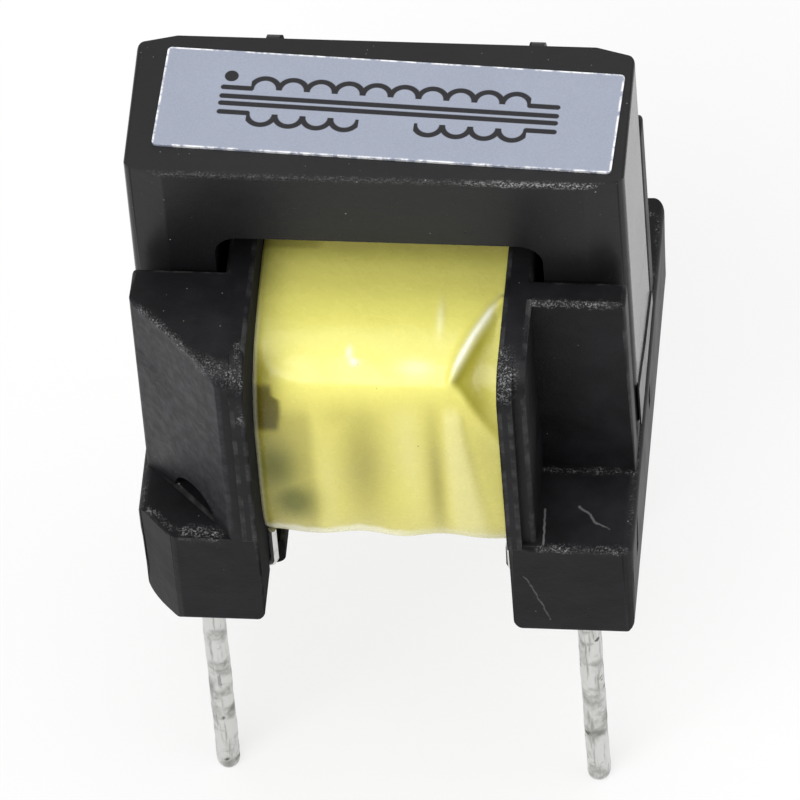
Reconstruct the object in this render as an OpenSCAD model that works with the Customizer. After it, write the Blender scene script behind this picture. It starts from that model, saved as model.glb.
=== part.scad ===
// Four-pin pulse transformer for a printed circuit board.
// A U-shaped ferrite core stands on a ferrite bar that passes through a moulded bobbin, so the
// two close a ring. The coil is wound round the bar, along X. Z = 0 is the seating plane of the
// bobbin on the board, and the origin is the middle of the pin pattern. The front is -Y.

/* [Core] */
// Length of the closed core, along the coil's axis
core_length = 16.4; // [15.6:0.1:17.6]
// Depth of the ferrite, front to back
core_depth = 5.9; // [5.2:0.1:6.4]
// Height of the core, from the bar's underside to the top of the U
core_height = 13; // [12.6:0.1:14.4]
// Thickness of the bar and of the U's top
leg_thickness = 3.2; // [2.6:0.1:3.4]
// Thickness of the U's two upright legs
yoke_thickness = 2.8; // [2.4:0.1:3]
// Radius inside the U's two corners
window_fillet = 0.8; // [0.3:0.1:1]
// Length of the flat pressed on each upright outer edge, along the core
edge_flat_length = 1.3; // [0.6:0.1:1.6]
// Depth of that flat
edge_flat_depth = 0.35; // [0.15:0.05:0.5]
// Radius pressed along the core's outer top and bottom edges
core_top_radius = 0.15; // [0.05:0.05:0.3]
// Thickness of the adhesive that holds the core, on each end face
adhesive_film = 0.06; // [0.04:0.01:0.08]
// How far the adhesive reaches up an end face, at the front
adhesive_front = 1.9; // [0.8:0.1:2.6]
// How far it reaches up at the rear
adhesive_rear = 0.6; // [0.3:0.1:1.6]

/* [Bobbin] */
// Gap between a flange's rib and the yoke
yoke_gap = 0.33; // [0.15:0.02:0.6]
// Thickness of a flange
flange_thickness = 0.5; // [0.4:0.05:0.6]
// Thickness of the stiffening rib on the outside of a flange
rib_thickness = 0.42; // [0.3:0.02:0.5]
// Depth of a flange, front to back
flange_depth = 15.4; // [15.2:0.1:16.4]
// Radius of a flange's upper corners
flange_corner = 1.3; // [0.4:0.1:2]
// Height of the flanges and cradle walls over the board
flange_height = 13.2; // [12.4:0.05:13.8]
// Wall of the tube that carries the coil
tube_wall = 0.6; // [0.4:0.05:0.8]
// Gap left round the lower leg and beside the yokes
core_clearance = 0.15; // [0.05:0.05:0.2]
// Thickness of the walls before and behind a yoke
cradle_wall = 1; // [0.6:0.05:1.2]
// How far the cradle walls stop short of the base's end
cradle_setback = 0.15; // [0.05:0.05:0.5]

/* [Pin blocks] */
// Length of the base, past the core's ends, on each side
base_overhang = 0.1; // [0:0.05:0.5]
// Depth of the base, front to back
base_depth = 15.1; // [14.4:0.1:15.2]
// Height of a pin block, from the board to its ledge
base_height = 4.5; // [3.8:0.1:5]
// Height of the yoke's floor above the ledge
floor_rise = 0.4; // [0.35:0.05:1]
// Radius of the blocks' upright corners
block_corner = 0.4; // [0.2:0.05:0.7]
// Radius of the blocks' lower corners, seen from the front
block_foot_radius = 0.65; // [0.2:0.05:0.9]
// Radius of the blocks' lower edges, seen from the side
block_edge_radius = 0.25; // [0.1:0.05:0.4]
// Radius along the outer edge of the ledges
ledge_radius = 0.35; // [0.1:0.05:0.45]
// How much the base's ends lean in from the ledge to the board
block_draft = 0.12; // [0:0.02:0.2]
// Leg of the 45 degree cut on the base at the pin-one corner
pin_one_cut = 1.3; // [0.8:0.1:1.8]
// Radius of the wire notch in the pin-one corner
notch_radius = 1.05; // [0.5:0.05:1.2]
// How far the wire notch goes in behind the slanted wall
notch_depth = 1.1; // [0.6:0.1:1.4]
// Place of the wire notch along the slanted wall, from its front end to its rear end
notch_place = 0.42; // [0.35:0.01:0.65]
// Height of the sill left under the wire notch
notch_sill = 0.18; // [0.1:0.02:0.4]
// Reach of the lip at the foot of a flange, under the coil
lip_reach = 0.45; // [0.2:0.05:0.8]
// Height of that lip
lip_height = 1.15; // [0.8:0.05:1.2]
// Depth of that lip, front to back
lip_depth = 10; // [6:0.1:10.2]
// Setback of the ribs from the flange's front and rear edges
rib_setback = 0.4; // [0.4:0.1:1.6]
// Width of the mould's slots in the right-hand end face
mould_slot_width = 0.45; // [0.2:0.05:0.7]
// How far the mould's slots go in
mould_slot_sink = 0.25; // [0.1:0.05:0.4]

/* [Pins] */
// Pin pitch along X
pin_pitch_x = 12.7; // [12.2:0.1:13]
// Pin pitch along Y
pin_pitch_y = 10.16; // [9.9:0.02:10.6]
// Diameter of a pin
pin_diameter = 0.8; // [0.6:0.05:0.9]
// Length of a pin below the board's top surface
pin_length = 11.2; // [3:0.1:12]
// Diameter of a pin's shank, where the base grips it
shank_diameter = 0.74; // [0.5:0.02:0.78]
// Length of the shank, up into the base
shank_length = 3.6; // [2:0.1:3.7]
// Length of the rounded end of a pin
pin_tip = 0.35; // [0.1:0.05:0.6]
// Radius of the well round a pin's root, where the lead is wrapped
well_radius = 0.85; // [0.75:0.05:0.95]
// Depth of that well
well_depth = 1; // [0.9:0.05:1.2]

/* [Coil] */
// Build of the coil over the tube, at the front and back
coil_build_side = 2.35; // [1.8:0.05:2.5]
// Build of the coil over the tube, above and below
coil_build_top = 2.55; // [2.2:0.05:2.65]
// Share of the wire build taken by the inner winding
primary_share = 0.5; // [0.3:0.05:0.7]
// Thickness of the insulating tape between the windings
interlayer_tape_thickness = 0.12; // [0.06:0.02:0.3]
// Thickness of the yellow tape round the outside
outer_tape_thickness = 0.15; // [0.06:0.01:0.2]
// How much the taped coil swells half-way between the flanges
tape_swell = 0.1; // [0:0.02:0.15]
// Diameter of the lead wires
wire_diameter = 0.28; // [0.2:0.02:0.32]

/* [Label] */
// Length of the label on the core's top
label_length = 15.1; // [10:0.05:15.2]
// Depth of the label
label_depth = 4.15; // [3:0.05:4.6]
// Thickness of the label
label_thickness = 0.08; // [0.05:0.01:0.15]
// Turn of the label on the core, seen from above
label_turn = -2.4; // [-3:0.1:3]
// How far the label sits off the core's middle, along X
label_shift = 0.3; // [-0.3:0.05:0.35]

/* [Hidden] */

ferrite = [0.17, 0.17, 0.18];
moulding = [0.11, 0.11, 0.12];
tinned = [0.8, 0.8, 0.78];
copper = [0.72, 0.4, 0.2];
clear_tape = [0.85, 0.72, 0.35];
yellow_tape = [0.93, 0.9, 0.42];
foil = [0.72, 0.74, 0.78];
resin = [0.3, 0.28, 0.24];

// Overshoot of cutting solids, so that no cut ends on a face
cut = 0.5;

// Core
half_core = core_length / 2;
window_half = half_core - yoke_thickness;
core_floor = base_height + floor_rise;
core_top = core_floor + core_height;
window_bottom = core_floor + leg_thickness;
window_top = core_top - leg_thickness;

// Bobbin
rib_outer = window_half - yoke_gap;
flange_outer = rib_outer - rib_thickness;
flange_inner = flange_outer - flange_thickness;
cradle_half = core_depth / 2 + core_clearance;
wall_outer = cradle_half + cradle_wall;
base_half = half_core + base_overhang;
wall_end = base_half - cradle_setback;
tube_half_y = cradle_half + tube_wall;
tube_half_z = leg_thickness / 2 + core_clearance + tube_wall;
coil_axis = core_floor + leg_thickness / 2;
rib_front = flange_depth / 2 - rib_setback;
corner_front = base_depth / 2;

// The slanted wall runs at 45 degrees from the rib's foot to the cradle wall
slant_sum = rib_outer + corner_front;
slant_start = slant_sum - wall_end;

// Leads: each runs in a lane that is tangent to the pin it is wrapped on
pin_radius = pin_diameter / 2;
shank_radius = shank_diameter / 2;
wire_radius = wire_diameter / 2;
wrap_gap = 0.01;
turn_gap = 0.02;
lane_gap = 0.06;
lead_gap = 0.03;
wrap_radius = shank_radius + wire_radius + wrap_gap;
wrap_pitch = wire_diameter + turn_gap;
lane_y = pin_pitch_y / 2 + wrap_radius;
lane_z = well_depth - wire_radius - lane_gap;
lane_width = wire_diameter + 2 * lane_gap;
lead_x = flange_inner - wire_radius - lead_gap;
// As many whole turns as the well holds above the seating plane
wrap_turns = max(1, floor((lane_z - wire_radius) / wrap_pitch));

// Smoothness of the computed surfaces
ring_steps = 64;
swell_steps = 12;
wire_sides = 8;
wrap_steps = 16;
$fn = 48;

// --- profiles -------------------------------------------------------------

function lerp(a, b, t) = a + (b - a) * t;
function signed_power(v, p) = sign(v) * pow(abs(v), p);

// Points of a superellipse with half sizes y and z; the larger n is, the squarer it is
function superellipse(y, z, n) = [
  for (i = [0 : ring_steps - 1])
    let (a = (i + 0.5) * 360 / ring_steps)
      [y * signed_power(cos(a), 2 / n), z * signed_power(sin(a), 2 / n)]
];

tube_squareness = 9;
coil_squareness = 3.8;

// Section of the coil at build share t: the tube's own outline at 0, the full coil at 1.
// The grow value adds an even thickness, such as that of the tape.
function coil_section(t, grow = 0) = superellipse(
  tube_half_y + coil_build_side * t + grow,
  tube_half_z + coil_build_top * t + grow,
  lerp(tube_squareness, coil_squareness, min(1, t * 1.5))
);

// Extrudes a Y-Z outline along X, centred on the tube's axis
module along_coil(width) {
  translate([-width / 2, 0, coil_axis])
    rotate([90, 0, 90])
      linear_extrude(width)
        children();
}

corner_steps = 6;

// The outline with every corner rounded to its own radius, by short chords of an arc
function round_corners(points, radii) = [
  for (i = [0 : len(points) - 1])
    let (
      n = len(points),
      here = points[i],
      back = points[(i + n - 1) % n] - here,
      ahead = points[(i + 1) % n] - here,
      u = back / norm(back),
      v = ahead / norm(ahead),
      half_angle = acos(u * v) / 2,
      reach = radii[i] / tan(half_angle),
      centre = here + (u + v) / norm(u + v) * radii[i] / sin(half_angle),
      from = here + u * reach - centre,
      to = here + v * reach - centre,
      start = atan2(from[1], from[0]),
      turn = atan2(from[0] * to[1] - from[1] * to[0], from * to)
    )
      for (k = [0 : radii[i] > 0 ? corner_steps : 0])
        centre + radii[i] * [cos(start + turn * k / corner_steps), sin(start + turn * k / corner_steps)]
];

// Extrudes an X-Z outline along Y, centred on Y = 0
module along_depth(depth) {
  translate([0, depth / 2, 0])
    rotate([90, 0, 0])
      linear_extrude(depth)
        children();
}

// Extrudes a Y-Z outline along +X, from x
module plate(x, thickness) {
  translate([x, 0, 0])
    rotate([90, 0, 90])
      linear_extrude(thickness)
        children();
}

// --- core -------------------------------------------------------------------

// Plan of the core, with a long flat on each upright outer edge
module core_plan() {
  x = half_core;
  y = core_depth / 2;
  flat_x = x - edge_flat_length;
  flat_y = y - edge_flat_depth;
  r = edge_flat_depth;
  polygon(round_corners(
    [
      [-flat_x, -y], [flat_x, -y], [x, -flat_y], [x, flat_y],
      [flat_x, y], [-flat_x, y], [-x, flat_y], [-x, -flat_y]
    ],
    [r, r, r, r, r, r, r, r]
  ));
}

// Cuts an X-Z outline, extruded over the core's depth, to the core's plan
module core_piece() {
  intersection() {
    along_depth(core_depth)
      children();
    linear_extrude(core_top + cut)
      core_plan();
  }
}

// The U, open downwards: its two legs stand on the bar's ends
module core_u() {
  x = half_core;
  w = window_half;
  r = core_top_radius;
  f = window_fillet;
  color(ferrite)
    core_piece()
      polygon(round_corners(
        [
          [x, window_bottom], [x, core_top], [-x, core_top], [-x, window_bottom],
          [-w, window_bottom], [-w, window_top], [w, window_top], [w, window_bottom]
        ],
        [0, r, r, 0, 0, f, f, 0]
      ));
}

// The bar that carries the coil's tube
module core_bar() {
  x = half_core;
  r = core_top_radius;
  color(ferrite)
    core_piece()
      polygon(round_corners(
        [[x, core_floor], [x, window_bottom], [-x, window_bottom], [-x, core_floor]],
        [r, 0, 0, r]
      ));
}

// Adhesive smeared over the foot of both end faces, higher at the front than at the rear
module core_adhesive() {
  y = core_depth / 2 - edge_flat_depth;
  low = core_floor + core_top_radius;
  color(resin)
    for (x = [half_core, -half_core - adhesive_film])
      plate(x, adhesive_film)
        polygon([
          [-y, low],
          [y, low],
          [y, low + adhesive_rear],
          [0, low + adhesive_rear + (adhesive_front - adhesive_rear) * 0.4],
          [-y * 0.6, low + adhesive_front * 0.85],
          [-y, low + adhesive_front]
        ]);
}

// --- bobbin -----------------------------------------------------------------

// Pin block of the right-hand end; outer_cut takes its front outer corner off at 45 degrees
module base_block(outer_cut) {
  half_y = base_depth / 2;
  r = block_corner;
  plan = outer_cut > 0
    ? round_corners(
        [
          [flange_inner, -half_y],
          [base_half - outer_cut, -half_y],
          [base_half, outer_cut - half_y],
          [base_half, half_y],
          [flange_inner, half_y]
        ],
        [0, r, r, r, 0]
      )
    : round_corners(
        [[flange_inner, -half_y], [base_half, -half_y], [base_half, half_y], [flange_inner, half_y]],
        [0, r, r, 0]
      );
  f = block_foot_radius;
  front = round_corners(
    [[flange_inner, 0], [base_half - block_draft, 0], [base_half, base_height], [flange_inner, base_height]],
    [f, f, ledge_radius, 0]
  );
  e = block_edge_radius;
  side = round_corners([[-half_y, 0], [half_y, 0], [half_y, base_height], [-half_y, base_height]], [e, e, 0, 0]);
  intersection() {
    linear_extrude(base_height)
      polygon(plan);
    along_depth(base_depth)
      polygon(front);
    plate(flange_inner, base_half - flange_inner)
      polygon(side);
  }
}

// Flange of the right-hand end, down to the board
module flange_plate() {
  half_y = flange_depth / 2;
  foot = half_y - base_depth / 2;
  plate(flange_inner, flange_thickness)
    polygon(round_corners(
      [[-half_y, base_height], [-half_y, flange_height], [half_y, flange_height], [half_y, base_height]],
      [foot, flange_corner, flange_corner, foot]
    ));
}

// Stiffening rib outside the flange; it also closes the inner side of the two pockets
module flange_rib() {
  plate(flange_outer, rib_thickness)
    polygon(round_corners(
      [
        [-rib_front, base_height], [-rib_front, flange_height],
        [rib_front, flange_height], [rib_front, base_height]
      ],
      [0, flange_corner * 0.8, flange_corner * 0.8, 0]
    ));
}

// Walls before and behind the yoke, and the floor that it stands on
module yoke_cradle() {
  length = wall_end - flange_outer;
  for (side = [-1, 1])
    translate([flange_outer, side > 0 ? cradle_half : -wall_outer, base_height - cut])
      cube([length, cradle_wall, flange_height - base_height + cut]);
  translate([flange_outer, -wall_outer, base_height - cut])
    cube([length, 2 * wall_outer, floor_rise + cut]);
}

// Lip at the flange's foot, under the coil
module foot_lip() {
  r = lip_reach * 0.9;
  along_depth(lip_depth)
    difference() {
      translate([flange_inner - lip_reach, 0])
        square([lip_reach + flange_thickness / 2, lip_height]);
      translate([flange_inner - lip_reach, 0])
        difference() {
          translate([-cut, -cut])
            square(r + cut);
          translate([r, r])
            circle(r);
        }
    }
}

// Everything that both ends have, for the end at +X
module bobbin_end(outer_cut) {
  base_block(outer_cut);
  flange_plate();
  flange_rib();
  yoke_cradle();
  foot_lip();
}

// The filled corner over pin one: its outer wall is cut back at 45 degrees
module pin_one_corner() {
  slanted_plan = round_corners(
    [
      [flange_outer, -cradle_half],
      [flange_outer, -corner_front],
      [rib_outer, -corner_front],
      [wall_end, -slant_start],
      [wall_end, -cradle_half]
    ],
    [0, 0, rib_thickness / 2, block_corner, 0]
  );
  rise = flange_height - base_height;
  difference() {
    intersection() {
      translate([0, 0, base_height - cut])
        linear_extrude(rise + cut)
          polygon(slanted_plan);
      translate([0, -corner_front, base_height])
        rotate([90, 0, 90])
          linear_extrude(base_half)
            polygon(round_corners(
              [[0, -cut], [corner_front, -cut], [corner_front, rise], [0, rise]],
              [0, 0, 0, flange_corner * 0.6]
            ));
    }
    wire_notch();
  }
}

// Arched notch low in the slanted wall, over a sill
module wire_notch() {
  x = lerp(rib_outer, wall_end, notch_place);
  floor_z = base_height + notch_sill;
  intersection() {
    translate([x, x - slant_sum, floor_z])
      rotate([0, 0, 45])
        rotate([90, 0, 0])
          translate([0, 0, -notch_depth])
            cylinder(r = notch_radius, h = notch_depth + cut);
    translate([0, -base_depth, floor_z])
      cube([base_half + cut, base_depth, notch_radius + cut]);
  }
}

// Shallow slots in the right-hand end face, left by the mould
module mould_slots() {
  // each slot's place along the base's depth, and its low and high end up the base
  for (slot = [[0, 0.62, 0.85], [-0.375, 0.5, 0.9]])
    translate([base_half - mould_slot_sink, slot[0] * base_depth - mould_slot_width / 2, base_height * slot[1]])
      cube([mould_slot_sink + cut, mould_slot_width, base_height * (slot[2] - slot[1])]);
}

// Bores, wrap wells and lead lanes under the base
module pin_sockets() {
  for (sx = [-1, 1], sy = [-1, 1]) {
    translate([sx * pin_pitch_x / 2, sy * pin_pitch_y / 2, -cut]) {
      cylinder(r = shank_radius, h = shank_length + cut);
      cylinder(r = well_radius, h = well_depth + cut);
    }
    translate([
      sx > 0 ? flange_inner - cut : -pin_pitch_x / 2,
      sy * lane_y - lane_width / 2,
      -cut
    ])
      cube([pin_pitch_x / 2 - flange_inner + cut, lane_width, well_depth + cut]);
  }
}

// Way through the tube, the flanges and the ribs for the core's bar
module leg_tunnel() {
  translate([-window_half, -cradle_half, core_floor])
    cube([2 * window_half, 2 * cradle_half, leg_thickness + core_clearance]);
}

module bobbin() {
  color(moulding)
    difference() {
      union() {
        along_coil(2 * flange_outer)
          polygon(coil_section(0));
        bobbin_end(0);
        mirror([1, 0, 0]) {
          bobbin_end(pin_one_cut);
          pin_one_corner();
        }
      }
      leg_tunnel();
      pin_sockets();
      mould_slots();
    }
}

// --- pins -------------------------------------------------------------------

module pin(sx, sy) {
  tip_radius = pin_radius * 0.62;
  color(tinned)
    translate([sx * pin_pitch_x / 2, sy * pin_pitch_y / 2, 0]) {
      cylinder(r = shank_radius, h = shank_length);
      translate([0, 0, pin_tip - pin_length])
        cylinder(r = pin_radius, h = pin_length - pin_tip);
      translate([0, 0, -pin_length])
        cylinder(r1 = tip_radius, r2 = pin_radius, h = pin_tip);
    }
}

module pin_front_left() {
  pin(-1, -1);
}

module pin_front_right() {
  pin(1, -1);
}

module pin_rear_left() {
  pin(-1, 1);
}

module pin_rear_right() {
  pin(1, 1);
}

// --- coil -------------------------------------------------------------------

side_gap = 0.04;
coil_width = 2 * (flange_inner - side_gap);

module coil_shell(inner, outer) {
  along_coil(coil_width)
    difference() {
      polygon(outer);
      polygon(inner);
    }
}

module primary_winding() {
  color(copper)
    coil_shell(coil_section(0), coil_section(primary_share));
}

module interlayer_tape() {
  color(clear_tape)
    coil_shell(coil_section(primary_share), coil_section(primary_share, interlayer_tape_thickness));
}

module secondary_winding() {
  color(copper)
    coil_shell(coil_section(primary_share, interlayer_tape_thickness), coil_section(1));
}

// Sides of a closed sweep: rings of points joined in order, the last one to the first
function band_faces(rings, n) = [
  for (i = [0 : rings - 1], k = [0 : n - 1])
    let (j = (i + 1) % rings, m = (k + 1) % n)
      each [[i * n + k, j * n + k, j * n + m], [i * n + k, j * n + m, i * n + m]]
];

// Yellow tape: a plain bore, and an outside that swells between the flanges
module outer_tape() {
  half = coil_width / 2;
  stations = [for (i = [0 : swell_steps]) -half + coil_width * i / swell_steps];
  outside = [
    for (x = stations)
      let (swell = tape_swell * (1 - pow(x / half, 2)))
        [for (p = coil_section(1, outer_tape_thickness + swell)) [x, p[0], p[1] + coil_axis]]
  ];
  inside = [
    for (x = [half, -half])
      [for (p = coil_section(1)) [x, p[0], p[1] + coil_axis]]
  ];
  rings = concat(outside, inside);
  color(yellow_tape)
    polyhedron(points = [for (ring = rings) each ring], faces = band_faces(len(rings), ring_steps));
}

// --- leads ------------------------------------------------------------------

function unit(v) = v / norm(v);

// Directions along a path, and a normal that turns with it without twisting
function tangents(path) = [
  for (i = [0 : len(path) - 1])
    unit(path[min(i + 1, len(path) - 1)] - path[max(i - 1, 0)])
];
function carried(normal, tangent) = unit(normal - tangent * (normal * tangent));
function normals(dirs, first) = [
  for (i = 0, n = carried(first, dirs[0]); i < len(dirs);
       i = i + 1, n = i < len(dirs) ? carried(n, dirs[i]) : n) n
];

// A round wire along a path
module wire(path, radius, first_normal) {
  dirs = tangents(path);
  sides = normals(dirs, first_normal);
  count = len(path);
  points = [
    for (i = [0 : count - 1], k = [0 : wire_sides - 1])
      let (a = k * 360 / wire_sides, other = cross(dirs[i], sides[i]))
        path[i] + radius * (cos(a) * sides[i] + sin(a) * other)
  ];
  walls = [
    for (i = [0 : count - 2], k = [0 : wire_sides - 1])
      let (m = (k + 1) % wire_sides, low = i * wire_sides, high = low + wire_sides)
        [low + k, high + k, high + m, low + m]
  ];
  ends = [
    [for (k = [0 : wire_sides - 1]) k],
    [for (k = [wire_sides - 1 : -1 : 0]) (count - 1) * wire_sides + k]
  ];
  polyhedron(points = points, faces = concat(walls, ends));
}

// Height of the taped coil's underside at a given distance from its middle plane
function coil_underside(y) =
  let (
    half_y = tube_half_y + coil_build_side + outer_tape_thickness,
    half_z = tube_half_z + coil_build_top + outer_tape_thickness
  )
    coil_axis - half_z * pow(1 - pow(y / half_y, coil_squareness), 1 / coil_squareness);

// The lead of the corner at +X, +Y: down from the coil, along the lane under the base and
// round the root of the pin
function lead_path() =
  let (
    pin_x = pin_pitch_x / 2,
    pin_y = pin_pitch_y / 2,
    drop = coil_underside(lane_y) - wire_diameter * 0.55,
    bend = wire_diameter * 0.8,
    down = [
      [lead_x, lane_y, drop],
      [lead_x, lane_y, (drop + lane_z) / 2],
      [lead_x, lane_y, lane_z + bend],
      [lead_x + bend * 0.3, lane_y, lane_z + bend * 0.3],
      [lead_x + bend, lane_y, lane_z],
      [pin_x - bend, lane_y, lane_z]
    ],
    steps = wrap_turns * wrap_steps
  )
    concat(down, [
      for (i = [0 : steps])
        let (a = 90 - i * 360 / wrap_steps)
          [
            pin_x + wrap_radius * cos(a),
            pin_y + wrap_radius * sin(a),
            lane_z - wrap_pitch * i / wrap_steps
          ]
    ]);

module lead(sx, sy) {
  color(tinned)
    mirror([sx < 0 ? 1 : 0, 0, 0])
      mirror([0, sy < 0 ? 1 : 0, 0])
        wire(lead_path(), wire_radius, [0, 1, 0]);
}

module lead_front_left() {
  lead(-1, -1);
}

module lead_front_right() {
  lead(1, -1);
}

module lead_rear_left() {
  lead(-1, 1);
}

module lead_rear_right() {
  lead(1, 1);
}

// --- label ------------------------------------------------------------------

module label() {
  corner = label_thickness * 2;
  x = label_length / 2;
  y = label_depth / 2;
  color(foil)
    translate([label_shift, 0, core_top])
      rotate([0, 0, label_turn])
        linear_extrude(label_thickness)
          polygon(round_corners([[-x, -y], [x, -y], [x, y], [-x, y]], [corner, corner, corner, corner]));
}

core_u();
core_bar();
core_adhesive();
bobbin();
pin_front_left();
pin_front_right();
pin_rear_left();
pin_rear_right();
primary_winding();
interlayer_tape();
secondary_winding();
outer_tape();
lead_front_left();
lead_front_right();
lead_rear_left();
lead_rear_right();
label();
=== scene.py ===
"""Looks, light and camera for a small two-winding transformer with four board pins.

Each visible piece has its own operator: pieces are surfaces worked out with numpy, or
merged copies of the frame's solids with softened edges, and every finish is made of nodes.
"""

import math

import bmesh
import bpy
import numpy as np
from mathutils import Matrix, Vector


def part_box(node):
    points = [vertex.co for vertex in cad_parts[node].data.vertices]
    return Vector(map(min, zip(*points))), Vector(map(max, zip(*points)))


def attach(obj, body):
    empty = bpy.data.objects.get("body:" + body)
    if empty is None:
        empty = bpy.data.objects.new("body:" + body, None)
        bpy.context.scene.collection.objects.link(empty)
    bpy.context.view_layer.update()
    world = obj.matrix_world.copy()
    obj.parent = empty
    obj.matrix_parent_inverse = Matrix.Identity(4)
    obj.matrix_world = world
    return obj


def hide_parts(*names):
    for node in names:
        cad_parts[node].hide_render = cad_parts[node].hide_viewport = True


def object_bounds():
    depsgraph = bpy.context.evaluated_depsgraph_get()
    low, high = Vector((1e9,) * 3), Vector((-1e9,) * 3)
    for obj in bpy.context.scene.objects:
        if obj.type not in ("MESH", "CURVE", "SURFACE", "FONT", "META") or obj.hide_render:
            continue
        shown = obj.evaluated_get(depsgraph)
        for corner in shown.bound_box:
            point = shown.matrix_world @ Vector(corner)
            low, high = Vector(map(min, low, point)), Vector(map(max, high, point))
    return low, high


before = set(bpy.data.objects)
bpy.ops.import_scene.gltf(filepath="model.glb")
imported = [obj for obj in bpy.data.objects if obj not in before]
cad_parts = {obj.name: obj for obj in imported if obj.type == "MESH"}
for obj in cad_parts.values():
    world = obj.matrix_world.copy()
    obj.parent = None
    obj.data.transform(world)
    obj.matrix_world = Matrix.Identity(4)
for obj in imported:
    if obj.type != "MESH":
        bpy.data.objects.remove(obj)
FRAME_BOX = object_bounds()

bl_info = {
    "name": "Board transformer looks",
    "version": (1, 0, 0),
    "blender": (4, 5, 0),
    "location": "3D View > Sidebar > Transformer",
    "description": "Finishes, tape, pins, light and camera of a small board transformer",
    "category": "Object",
}

MM = 0.001
SIDES = ("front_left", "front_right", "rear_left", "rear_right")
# heights in millimetres: the core's top, the cradle walls' tops and the base's ledges
CORE_TOP, WALL_TOP, BASE_TOP = 17.9, 13.2, 4.5
# each lamp's way from the part, its distance and size in metres, and its power in watts
LAMPS = {
    "key_lamp": ((-0.35, -0.85, 0.95), 0.5, 0.34, 1.9),
    "fill_lamp": ((0.75, -0.3, 0.6), 0.5, 0.4, 0.4),
    "top_lamp": ((0.1, 0.1, 1.0), 0.6, 0.5, 1.9),
}
PRIMARY_TURN, SECONDARY_TURN = 0.16, 0.28  # millimetres from one turn to the next
LABEL_TURN = math.radians(-2.4)
FLOOR_REACH = 3.0  # metres
FLOOR_GLOW = 0.72  # how much of the floor's seen brightness is its own
SURROUND_LIGHT = 0.36  # the surround's strength where it lights but isn't seen


def tone(red, green, blue):
    """Display values from 0 to 255 as the linear colour a shader needs."""
    shown = np.array([red, green, blue]) / 255
    linear = np.where(shown <= 0.04045, shown / 12.92, ((shown + 0.055) / 1.055) ** 2.4)
    return tuple(float(v) for v in linear)


def length_prop(name, description, value):
    """A length in metres, shown in the scene's units."""
    return bpy.props.FloatProperty(
        name=name, description=description, default=value * MM, unit="LENGTH", precision=5
    )


def angle_prop(name, description, degrees):
    return bpy.props.FloatProperty(
        name=name, description=description, default=math.radians(degrees), subtype="ANGLE"
    )


def count_prop(name, description, value, least):
    return bpy.props.IntProperty(name=name, description=description, default=value, min=least)


def colour_prop(name, description, *shown):
    """A colour given as display values."""
    return bpy.props.FloatVectorProperty(
        name=name, description=description, default=tone(*shown), subtype="COLOR",
        size=3, min=0.0, max=1.0,
    )


# ---- sizes and colours


class CameraSizes(bpy.types.PropertyGroup):
    """Where the camera stands and what it frames."""

    azimuth: angle_prop("Azimuth", "Turn of the view towards the right end", 8.65)
    elevation: angle_prop("Elevation", "Height of the view above the board", 50.3)
    roll: angle_prop("Roll", "Turn of the camera about its own axis", 4.99)
    distance: length_prop("Distance", "From the top of the core to the camera", 428.4)
    view_width: length_prop("View width", "Width framed at the top of the core", 26.12)
    across: length_prop("Across", "Shift of the aim to the right of the core's top", 0.673)
    down: length_prop("Down", "Shift of the aim below the core's top", 9.445)


class TapeSizes(bpy.types.PropertyGroup):
    """The outer tape: how it is folded and pressed in."""

    columns: count_prop("Columns", "Grid columns across the tape", 124, 20)
    rows: count_prop("Rows", "Grid rows round the coil", 400, 60)
    fold: length_prop("Fold", "Height of the sharp fold by the right flange", 0.20)
    dimple: length_prop("Dimple", "Depth of the pressed-in corner below the fold", 0.13)
    crease: length_prop("Crease", "Height of the long crease at the upper corner", 0.05)
    band: length_prop("Band", "Height of the upright pleat under the fold", 0.09)
    ripple: length_prop("Ripple", "Height of the slack in the film", 0.025)
    lifted: length_prop("Lifted edge", "How far the film's edge stands up at the flange", 0.1)


class TapeColours(bpy.types.PropertyGroup):
    """The colours of the yellow tape where it lies over air, wire and moulding, and its
    painted shade and painted highlights.
    """

    # bright and front are lit and painted-shade copies of one film: front is the front side
    # laid darker
    bright: colour_prop("Bright", "Upper side", 230, 224, 118)
    front: colour_prop("Front", "Front side", 209, 200, 104)
    # painted shade: the upper side towards the core, under the core's top leg
    deep: colour_prop("Deep", "Side towards the core and pressed-in places", 178, 170, 62)
    # painted shade: olive bands between the folds and towards the left flange
    painted_shade_olive: colour_prop("Olive", "Where the film lies tight on the wire", 170, 162, 78)
    grey: colour_prop("Grey", "Where the moulding shows through", 104, 106, 32)
    brown: colour_prop("Brown", "Where resin and wire show through", 78, 70, 10)
    shade: colour_prop("Shade", "In the pressed-in corner and by the flange", 148, 140, 36)
    # painted highlight: the pale of the pleat and of the streaks
    pale: colour_prop("Pale", "Stretched film on a pleat", 224, 217, 142)
    # painted highlight colour of the fold, the glints and the turned-under edge; bare film at
    # the cut edges
    film: colour_prop("Film", "Bare edges of the film and its glints", 250, 250, 226)


class PinSizes(bpy.types.PropertyGroup):
    """The four tinned pins."""

    around: count_prop("Around", "Facets round a pin", 40, 8)
    along: count_prop("Along", "Rings along a pin", 120, 20)
    wander: length_prop("Wander", "Unevenness of the tin", 0.016)


class EdgeSizes(bpy.types.PropertyGroup):
    """How far sharp edges are softened."""

    moulding: length_prop("Moulding", "Softened edge of the moulding", 0.16)
    ferrite: length_prop("Ferrite", "Tumbled edge of the core", 0.12)


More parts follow.
